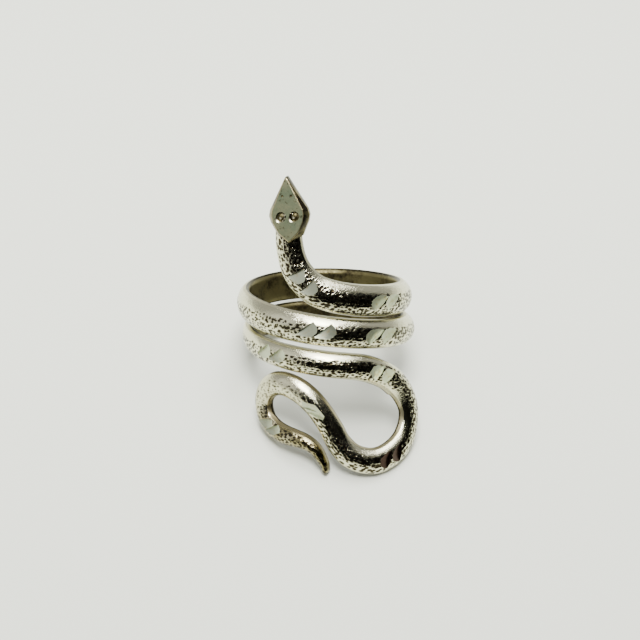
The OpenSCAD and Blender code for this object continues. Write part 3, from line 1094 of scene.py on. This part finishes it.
class SNAKE_OT_stage(bpy.types.Operator):
    """Sets up the floor, the lights, the dark card and the camera"""

    bl_idname = "snake.stage"
    bl_label = "Stage"

    def execute(self, context):
        setting = context.scene.snake_setting
        self.camera(context, setting)
        self.floor(setting)
        self.lights(context, setting)
        return {"FINISHED"}

    def camera(self, context, setting):
        """The photo's view of the ring, from a long way off."""
        roll, rise = math.radians(CAMERA_ROLL), math.radians(CAMERA_RISE)
        rolled = Matrix.Rotation(roll, 3, "Y")
        lay = Matrix((FLOOR_X, FLOOR_Y, FLOOR_UP))
        right, up, ahead = (lay @ rolled @ Vector(axis) for axis in (
            (1, 0, 0), (0, math.sin(rise), math.cos(rise)), (0, math.cos(rise), -math.sin(rise))
        ))
        aim = (lay @ CAMERA_AIM - FLOOR_SHIFT) * MM
        lens = bpy.data.cameras.new("camera")
        lens.lens, lens.sensor_width = LENS, SENSOR
        lens.clip_start = 0.01
        camera = bpy.data.objects.new("camera", lens)
        camera.matrix_world = Matrix.Translation(aim - ahead * setting.camera_far) @ Matrix(
            (right, up, -ahead)).transposed().to_4x4()
        context.scene.collection.objects.link(camera)
        context.scene.camera = camera

    def card(self, name, bm, material):
        """A part of the stage, made of a bmesh in metres."""
        mesh = bpy.data.meshes.new(name)
        bm.to_mesh(mesh)
        bm.free()
        mesh.materials.append(material)
        card = bpy.data.objects.new(name, mesh)
        bpy.context.scene.collection.objects.link(card)
        return card

    def floor(self, setting):
        """The pale paper, with painted shade that darkens it towards the camera."""
        paper = Surface("paper", Roughness=0.85)
        far = paper.node("ShaderNodeSeparateXYZ", {}, {0: paper.place()}, 1)
        # The paper's colour is darkened towards the camera as painted shade
        painted_shade_near = tuple(FLOOR_PAINTED_SHADE * c for c in setting.floor)
        paper.feed(Base_Color=paper.mix(far.between(*FLOOR_FADE), painted_shade_near, setting.floor))
        bm = bmesh.new()
        bmesh.ops.create_grid(bm, x_segments=1, y_segments=1, size=FLOOR_SIDE / 2)
        self.card("floor", bm, paper.material)

    def lights(self, context, setting):
        """The light room, its dark side and the soft lights."""
        world = bpy.data.worlds.new("room")
        world.use_nodes = True
        ground = world.node_tree.nodes["Background"]
        ground.inputs["Color"].default_value = ROOM_COLOUR
        ground.inputs["Strength"].default_value = setting.sky
        context.scene.world = world
        self.dark_room()
        for name, power, size, at in LAMPS:
            lamp = bpy.data.lights.new(name, "AREA")
            lamp.energy, lamp.size = power * setting.key, size
            light = bpy.data.objects.new(name, lamp)
            light.location = at
            light.rotation_mode = "QUATERNION"
            light.rotation_quaternion = (-at).to_track_quat("-Z", "Y")
            context.scene.collection.objects.link(light)

    def dark_room(self):
        """The dark side of the room, behind and below the camera. Only the metal
        sees it, so that the floor keeps its light."""
        dark = Surface("dark_room", Roughness=1.0, Specular_IOR_Level=0.0)
        dark.shader.inputs["Base Color"].default_value = DARK_COLOUR
        bm = bmesh.new()
        turn = Matrix.Rotation(math.radians(DARK_FROM), 3, "Z")
        line = [bm.verts.new(turn @ Vector((0, -r, z))) for r, z in DARK_PROFILE]
        edges = [bm.edges.new(pair) for pair in zip(line, line[1:])]
        bmesh.ops.spin(
            bm, geom=line + edges, cent=(0, 0, 0), axis=(0, 0, 1),
            angle=math.radians(DARK_TO - DARK_FROM), steps=DARK_STEPS, use_duplicate=False,
        )
        for v in bm.verts:
            a = math.degrees(math.atan2(v.co.x, -v.co.y))
            share = min(max((a - DARK_FROM) / (DARK_TO - DARK_FROM), 0), 1)
            v.co.z *= DARK_LOW + (1 - DARK_LOW) * max(math.sin(math.pi * share), 0) ** 0.5
        wall = self.card("dark_room", bm, dark.material)
        wall.visible_camera = wall.visible_diffuse = wall.visible_shadow = False


class SNAKE_PT_panel(bpy.types.Panel):
    """Sizes, finishes and build steps of the ring"""

    bl_label = "Snake Ring"
    bl_idname = "SNAKE_PT_panel"
    bl_space_type = "VIEW_3D"
    bl_region_type = "UI"
    bl_category = "Snake Ring"

    def draw(self, context):
        for heading, group, step in STEPS:
            box = self.layout.box()
            box.label(text=heading)
            sizes = getattr(context.scene, group)
            for key in sizes.__annotations__:
                box.prop(sizes, key)
            if step:
                box.operator(step)


STEPS = (
    ("Finish", "snake_finish", None),
    ("Band", "snake_band", "snake.band"),
    ("Head", "snake_head", "snake.head"),
    ("Stage", "snake_setting", "snake.stage"),
)
GROUPS = {
    "snake_finish": Finish, "snake_band": BandSizes, "snake_head": HeadSizes,
    "snake_setting": Setting,
}
CLASSES = (*GROUPS.values(), SNAKE_OT_band, SNAKE_OT_head, SNAKE_OT_stage, SNAKE_PT_panel)


def register():
    for cls in CLASSES:
        bpy.utils.register_class(cls)
    for name, group in GROUPS.items():
        setattr(bpy.types.Scene, name, PointerProperty(type=group))


def unregister():
    for name in GROUPS:
        delattr(bpy.types.Scene, name)
    for cls in reversed(CLASSES):
        bpy.utils.unregister_class(cls)


def main():
    register()
    bpy.ops.snake.band()
    bpy.ops.snake.head()
    bpy.ops.snake.stage()


if __name__ == "__main__":
    main()
